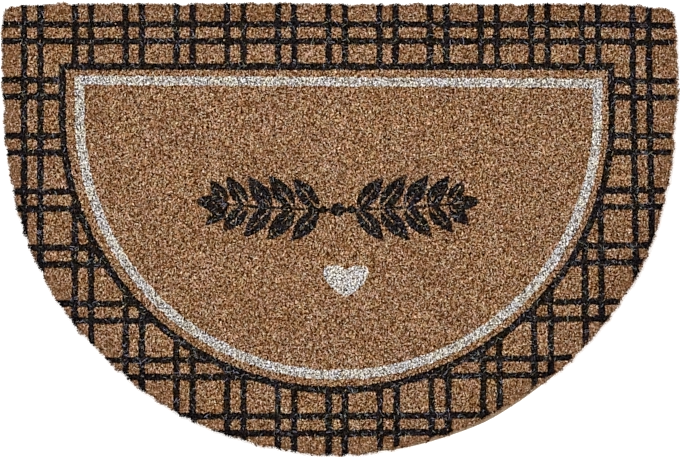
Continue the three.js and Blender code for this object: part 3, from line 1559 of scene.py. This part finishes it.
@dataclass
class LooseStrands:
    """Long curled fibres that were brushed out and lie over the top, and some that stand past the rim."""

    rim: Rim
    design: Print
    count: int = 7800
    inked: int = 1600
    strays: int = 300
    reach: tuple[float, float] = (300 * MM, 201 * MM)
    clear: float = 6 * MM
    stray_inset: float = 3.4
    lengths: tuple[float, float] = (3.6, 8.5)
    stray_lengths: tuple[float, float] = (3.4, 5.4)
    radii: tuple[float, float] = (0.11, 0.18)
    dips: tuple[float, ...] = (-1.4, 0.05, 0.1, -1.0)
    lift_spread: float = 0.2
    stray_tilt: float = 0.9
    stray_drop: tuple[float, float] = (1.0, 6.0)
    stray_depth: float = 2 * MM
    inside_ink: float = 0.5
    tone: tuple[float, float] = (0.80, 0.22)
    top: float = 14.5 * MM
    seed: int = 61

    def _arcs(self, rng: Draws, place: Array, way: Array, long: Array) -> Array:
        """Lays one curled path of four points through each place.

        The heading turns evenly along the path, so the path is close to a circle's arc. Its two ends
        dip into the pile and its middle lies on it.

        Args:
            rng: source of the curls.
            place: where each path starts.
            way: its heading there.
            long: its length.

        Returns:
            The points, by strand, level and axis.
        """
        count = len(place)
        curl = rng.normal(0.0, 1.0, count)
        path = np.zeros((count, 4, 3))
        path[:, 0, :2] = place
        for k in range(3):
            step = headings(way + curl * (k - 1)) * long[:, None] / 3
            path[:, k + 1, :2] = path[:, k, :2] + step
        lift = rng.normal(0.0, self.lift_spread, count)[:, None]
        path[:, :, 2] = self.top + (lift + np.array(self.dips)) * MM
        return path

    def fibres(self) -> Fibres:
        """Makes the strands on the top and the strays at the rim. More of them show over the black ink,
        where they carry a painted sheen.

        Returns:
            The fibres.
        """
        rng = np.random.default_rng(self.seed)
        spread = rng.uniform(-1, 1, (self.count * 2, 2)) * self.reach
        lying = spread[self.rim.depth(*spread.T) > self.clear][: self.count]
        again = rng.uniform(-1, 1, (self.inked * 5, 2)) * self.reach
        deep = self.rim.depth(*again.T)
        over_ink = (deep > self.clear) & (self.design.black(*again.T, deep) > self.inside_ink)
        lying = np.vstack([lying, again[over_ink][: self.inked]])
        edge = self.rim.loop(self.strays)
        out = self.rim.outward(edge)
        tilt = rng.normal(0.0, self.stray_tilt, self.strays)
        place = np.vstack([lying, edge - out * self.stray_inset * MM])
        count, free = len(place), len(lying)
        way = np.concatenate([rng.uniform(0, TURN, free), np.arctan2(out[:, 1], out[:, 0]) + tilt])
        rows = ((self.lengths, free), (self.stray_lengths, self.strays))
        long = np.concatenate([rng.uniform(*ends, size) for ends, size in rows]) * MM
        path = self._arcs(rng, place, way, long)
        path[free:, :, 2] -= rng.uniform(*self.stray_drop, self.strays)[:, None] * MM
        across = level(left_of(units(path[:, 2, :2] - path[:, 1, :2])))
        over = np.tile([0.0, 0.0, 1.0], (count, 1))
        points = spindles(path, across, over, rng.uniform(*self.radii, count) * MM)
        tone = rng.normal(*self.tone, count)
        depth = np.repeat([WELL_INSIDE, self.stray_depth], (free, self.strays))[:, None]
        hue = rng.uniform(0, 1, count)
        return Fibres.grown(STRAND, points, tone, hue, self.design, depth, np.zeros(count))

    def build(self) -> Piece:
        """Builds the piece."""
        return self.fibres().piece("loose_strands", STRAND_FINISH, STRAND_FINISH.material())


@dataclass
class RimBristles:
    """The upright bristles of the cut edge, from the sheet to the shoulder."""

    rim: Rim
    design: Print
    pitch: float = 0.38 * MM
    foot: float = 2.3 * MM
    crown: float = 13.9 * MM
    levels: tuple[float, ...] = (0.0, 0.36, 0.78, 1.0)
    splay: tuple[float, ...] = (-0.9, -0.15, 0.12, -0.55)
    insets: tuple[float, float] = (0.2, 1.9)
    radii: tuple[float, float] = (0.2, 0.36)
    inked_from: float = 6.0
    stands_out: tuple[float, float] = (0.1, 0.3)
    most_out: tuple[float, float] = (-0.6, 0.8)
    slant: float = 0.9
    crown_spread: float = 0.45
    # the mean tone carries some painted light, coming in at the side of the rim
    tone: tuple[float, float] = (0.56, 0.17)
    hues: tuple[float, float] = (0.2, 0.9)
    ink_wander: float = 0.3
    depth: float = 0.6 * MM
    seed: int = 31

    def fibres(self) -> Fibres:
        """Makes the bristles as spindles through four levels.

        A bristle stands in from the rim by its inset, leans out from its foot to the belly and in again
        to the shoulder, and slants a little along the rim. The clumps stand out raggedly. The ink runs
        down them to inked_from above the foot.

        Returns:
            The fibres.
        """
        rng = np.random.default_rng(self.seed)
        count = int(self.rim.length / self.pitch)
        base = self.rim.loop(count)
        out = self.rim.outward(base)
        levels = np.array(self.levels)
        own = np.clip(rng.normal(*self.stands_out, count), *self.most_out)
        reach = self.rim.raggedness(*base.T) + own * MM
        outward = np.array(self.splay) * MM + reach[:, None] * np.minimum(levels * 2, 1.0)
        outward -= rng.uniform(*self.insets, count)[:, None] * MM
        sideways = rng.normal(0.0, self.slant, count)[:, None] * (levels - 0.5) * MM
        crown = self.crown + rng.normal(0.0, self.crown_spread, count) * MM
        path = np.empty((count, 4, 3))
        path[..., :2] = base[:, None] + out[:, None] * outward[..., None]
        path[..., :2] += left_of(out)[:, None] * sideways[..., None]
        path[..., 2] = self.foot + (crown - self.foot)[:, None] * levels
        across = headings(rng.uniform(0, TURN, count))
        radius = rng.uniform(*self.radii, count) * MM
        points = spindles(path, level(across), level(left_of(across)), radius)
        tone = rng.normal(*self.tone, count)
        wander = rng.normal(0.0, self.ink_wander, count)
        hue = rng.uniform(*self.hues, count)
        depth = np.full((count, 1), self.depth)
        made = Fibres.grown(SPINDLE, points, tone, hue, self.design, depth, wander)
        made.black = np.minimum(made.black, (points[:, :, 2] - self.foot) / MM - self.inked_from)
        return made

    def build(self) -> Piece:
        """Builds the piece."""
        made = self.fibres().piece("rim_bristles", RIM_FINISH, RIM_FINISH.material())
        return made


@dataclass
class Slab:
    """A closed slab inside an outline: a top of loops round the middle, a side and a flat underside.

    The profile gives the side's loops from the top down, each by its inset and its height. The underside
    is a net like the top's, or a plain fan where nothing shows it.
    """

    rim: Rim
    steps: int
    profile: Pairs
    netted: bool = False

    @property
    def around(self) -> int:
        """How many points go round the edge."""
        return 8 * self.steps

    def edge(self, inset: float) -> Array:
        """The outline's loop, drawn in by an inset."""
        loop = self.rim.loop(self.around)
        return loop - self.rim.outward(loop) * inset

    def net(self, inset: float) -> tuple[Array, Array]:
        """Maps a square net onto the inside of the outline.

        A place of the net lies on the square ring whose step is the larger of its two counts. Ring k has
        8k even places, and each goes to the share k / steps of the way from the middle to the edge.

        Args:
            inset: how far the edge is drawn in.

        Returns:
            The place of every point of the net along X and along Y.
        """
        ring, place = self._rings()
        edge = self.edge(inset)
        exact = np.where(ring > 0, place / np.maximum(ring, 1) * self.steps, 0.0)
        low = np.floor(exact).astype(int)
        part = (exact - low)[..., None]
        point = edge[low % self.around] * (1 - part) + edge[(low + 1) % self.around] * part
        return tuple(np.moveaxis(point * (ring / self.steps)[..., None], -1, 0))

    def _rings(self) -> tuple[Array, Array]:
        """Sorts the net's places into square rings.

        A place is counted along its ring from the lower left corner, counter-clockwise: along the
        bottom, up the right side, back along the top and down the left side.

        Returns:
            Each place's ring, and its count along it, from 0 to 8 times the ring.
        """
        steps = np.arange(-self.steps, self.steps + 1)
        i, j = np.meshgrid(steps, steps, indexing="ij")
        ring = np.maximum(np.abs(i), np.abs(j))
        sides = [(j == -ring) & (i < ring), (i == ring) & (j < ring), (j == ring) & (i > -ring)]
        counts = [i + ring, 3 * ring + j, 5 * ring - i]
        return ring, np.select(sides, counts, 7 * ring - j)

    def skin(self, top: Array, marks: dict[str, Array]) -> Skin:
        """Closes the slab.

        Args:
            top: heights over the net.
            marks: what the finish reads over the net.

        Returns:
            The skin. The side takes the edge's marks, and the underside none.
        """
        size = len(top)
        around = self.around
        index = np.arange(size * size).reshape(size, size)
        ring, place = self._rings()
        on_edge = ring == self.steps
        border = index[on_edge][np.argsort(place[on_edge])]
        upper = np.stack([*self.net(self.profile[0][0]), top], axis=-1).reshape(-1, 3)
        rings = [np.column_stack([self.edge(inset), np.full(around, z)]) for inset, z in self.profile[1:]]
        inset, z = self.profile[-1]
        foot = np.array([[0.0, 0.0, z]])
        if self.netted:
            rings.pop()
            foot = np.stack([*self.net(inset), np.full((size, size), z)], axis=-1).reshape(-1, 3)
        points = np.concatenate([upper, *rings, foot])
        start = len(points) - len(foot)
        loops = [border] + [size * size + k * around + np.arange(around) for k in range(len(rings))]
        if self.netted:
            loops.append(border + start)
            close = self._quads(index + start)[:, ::-1]
        else:
            close = np.column_stack([np.roll(loops[-1], -1), loops[-1], np.full(around, start)])
        sides = [
            np.column_stack([low, np.roll(low, -1), np.roll(high, -1), high])
            for high, low in zip(loops, loops[1:])
        ]
        carried = {}
        for name, values in marks.items():
            side = np.tile(values.ravel()[border], len(rings))
            carried[name] = np.concatenate([values.ravel(), side, np.zeros(len(foot))])
        chart = self._chart(size, len(rings))
        return Skin(points, (self._quads(index), *sides, close), carried, chart)

    @staticmethod
    def _quads(index: Array) -> Array:
        """The faces of a net, facing up."""
        corners = [index[:-1, :-1], index[1:, :-1], index[1:, 1:], index[:-1, 1:]]
        return np.stack(corners, axis=-1).reshape(-1, 4)

    def _chart(self, size: int, rings: int) -> Array:
        """Lays each net out as an oblong, and the side's loops as rows over them.

        Args:
            size: how many points the nets have each way.
            rings: how many loops the side has between the nets.

        Returns:
            The chart's points.
        """
        around = self.around
        i, j = np.meshgrid(np.arange(size), np.arange(size), indexing="ij")
        wide = (0.48 if self.netted else 0.9, 0.9)
        net = np.column_stack([i.ravel(), j.ravel()]) / (size - 1) * wide
        heights = 0.92 + 0.008 * np.arange(rings)
        rows = [np.column_stack([np.arange(around) / around, np.full(around, up)]) for up in heights]
        foot = net + (0.52, 0.0) if self.netted else np.array([[0.5, 0.99]])
        return np.concatenate([net, *rows, foot])


@dataclass
class CoirBed:
    """The closed depth of the pile under the fibre ends, down to the sheet."""

    rim: Rim
    design: Print
    steps: int = 72
    top: float = 11.7 * MM
    profile: Pairs = ((1.7 * MM, 10.8 * MM), (0.9 * MM, 8.0 * MM), (1.7 * MM, 2.5 * MM))
    lumps: Sway = Sway(((3.1, 41, 0.55), (11.0, 42, 0.25)))
    lit_from: float = 10 * MM
    lit_wide: float = 6 * MM
    lit: tuple[float, float] = (0.65, 0.1)

    def build(self) -> Piece:
        """Builds the slab with its lumpy top: two noises over a level, low where it meets the shoulder.

        Returns:
            The piece.
        """
        slab = Slab(self.rim, self.steps, self.profile)
        x, y = slab.net(self.profile[0][0])
        top = self.top + self.lumps.at(x, y) * MM
        for side in (top[0], top[-1], top[:, 0], top[:, -1]):
            side[:] = self.profile[0][1]
        depth = self.rim.depth(x.ravel(), y.ravel()).reshape(x.shape)
        marks = {"black": self.design.black(x, y, depth), "white": self.design.white(x, y)}
        lit = clipped((self.lit_from - depth) / self.lit_wide)
        marks["outer"] = lit * np.interp(y, NEAR_BACK, self.lit)
        made = slab.skin(top, marks).piece("coir_bed", BedFinish().material())
        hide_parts("coir_pile")
        return made


@dataclass
class VinylSheet:
    """The thin sheet that the bristles stand in, with a slightly eased cut edge."""

    rim: Rim
    steps: int = 30
    thick: float = 2.2 * MM
    rounding: float = 0.25 * MM
    bevel: float = 0.07 * MM

    def build(self) -> Piece:
        """Builds the slab: flat above and below, its side straight between two small roundings.

        Returns:
            The piece.
        """
        low = ((0.0, self.rounding), (self.bevel, self.bevel), (self.rounding, 0.0))
        profile = tuple((inset, self.thick - height) for inset, height in reversed(low)) + low
        slab = Slab(self.rim, self.steps, profile, netted=True)
        top = np.full((2 * self.steps + 1, 2 * self.steps + 1), self.thick)
        made = slab.skin(top, {}).piece("vinyl_sheet", VinylFinish().material(), smooth=False)
        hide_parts("vinyl_base")
        return made


# The studio


@dataclass(frozen=True)
class Lamp:
    """One soft square light that faces the mat, with its side in metres and its power in watts."""

    name: str
    place: tuple[float, float, float]
    side: float
    power: float

    def hang(self) -> None:
        """Hangs the light. The camera doesn't see it."""
        lamp = bpy.data.lights.new(self.name, "AREA")
        lamp.shape = "SQUARE"
        lamp.size = self.side
        lamp.energy = self.power
        made = bpy.data.objects.new(self.name, lamp)
        made.location = self.place
        made.rotation_euler = made.location.to_track_quat("Z", "Y").to_euler()
        made.visible_camera = False
        bpy.context.scene.collection.objects.link(made)


@dataclass
class Studio:
    """The pale floor, the soft lights and the camera straight above. Plain lengths are in metres."""

    half_floor: float = 4.0
    lamps: tuple[Lamp, ...] = (
        Lamp("key", place=(-0.06, 0.12, 1.15), side=0.6, power=13.0),
        Lamp("fill", place=(0.9, -0.6, 3.0), side=2.0, power=14.0),
    )
    surround: float = 0.48
    lens: float = 149.0
    sensor: float = 36.0
    frame_width: float = 602.7 * MM
    aim: tuple[float, float] = (-0.27 * MM, 1.1 * MM)
    focus: float = 14.0 * MM
    seen_from: float = 0.05
    seen_to: float = 50.0
    gamma: float = 2.2
    softness: float = 1.9
    sharpening: float = 0.092
    colour_blur: float = 3.2

    def floor(self) -> Piece:
        """Lays the floor just under the mat."""
        mesh = bpy.data.meshes.new("floor")
        half = self.half_floor
        corners = [(-half, -half, 0), (half, -half, 0), (half, half, 0), (-half, half, 0)]
        mesh.from_pydata(corners, [], [(0, 1, 2, 3)])
        mesh.materials.append(FloorFinish().material())
        made = bpy.data.objects.new("floor", mesh)
        bpy.context.scene.collection.objects.link(made)
        return made

    def sky(self) -> None:
        """Sets an even pale surround."""
        world = bpy.data.worlds.new("surround")
        world.use_nodes = True
        background = world.node_tree.nodes["Background"]
        background.inputs["Color"].default_value = (1.0, 1.0, 1.0, 1.0)
        background.inputs["Strength"].default_value = self.surround
        bpy.context.scene.world = world

    def camera(self) -> None:
        """Hangs the camera straight above, so far up that the frame is as wide as the photograph's."""
        lens = bpy.data.cameras.new("camera")
        lens.lens = self.lens
        lens.sensor_width = self.sensor
        lens.clip_start = self.seen_from
        lens.clip_end = self.seen_to
        made = bpy.data.objects.new("camera", lens)
        made.location = (*self.aim, self.focus + self.frame_width * self.lens / self.sensor)
        bpy.context.scene.collection.objects.link(made)
        bpy.context.scene.camera = made

    def develop(self) -> None:
        """Develops the picture as a camera does.

        On the picture's own gamma, the light is sharpened a little and the two colour differences are
        softened, so that the dark and light edges of the fibres hardly change the colour.
        """
        scene = bpy.context.scene
        scene.view_settings.view_transform = "Standard"
        scene.view_settings.look = "None"
        scene.cycles.filter_width = self.softness
        scene.cycles.denoising_prefilter = "NONE"
        room = Darkroom(scene)
        taken = room.node("CompositorNodeRLayers").outputs["Image"]
        curved = room.step("CompositorNodeGamma", {"Image": taken, "Gamma": 1 / self.gamma})
        parts = room.node("CompositorNodeSeparateColor", {"mode": "YUV"}, {"Image": curved}).outputs
        sharper = {"Image": parts[0], "Fac": self.sharpening}
        channels = [room.step("CompositorNodeFilter", sharper, {"filter_type": "SHARPEN"})]
        for part in parts[1:3]:
            softer = {"Image": part, "Size": (self.colour_blur, self.colour_blur)}
            channels.append(room.step("CompositorNodeBlur", softer, {"filter_type": "GAUSS"}))
        joined = room.step("CompositorNodeCombineColor", dict(enumerate(channels)), {"mode": "YUV"})
        shown = room.step("CompositorNodeGamma", {"Image": joined, "Gamma": self.gamma})
        room.node("CompositorNodeComposite", None, {"Image": shown})

    def build(self) -> None:
        """Builds the studio."""
        self.floor()
        for lamp in self.lamps:
            lamp.hang()
        self.sky()
        self.camera()
        self.develop()


def main() -> None:
    """Builds the mat and the studio."""
    logging.basicConfig(level=logging.INFO, format="%(name)s %(message)s")
    design = Print()
    belly = Rim("coir_pile", 9.375 * MM, PILE_WANDER)
    cut = Rim("vinyl_base", 2.2 * MM, SHEET_WANDER)
    sheet = VinylSheet(cut).build()
    bed = CoirBed(belly, design).build()
    pile = Pile(belly, design).build()
    pile.append(LooseStrands(belly, design).build())
    pile.append(RimBristles(belly, design).build())
    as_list(pile)
    Studio().build()


if __name__ == "__main__":
    main()
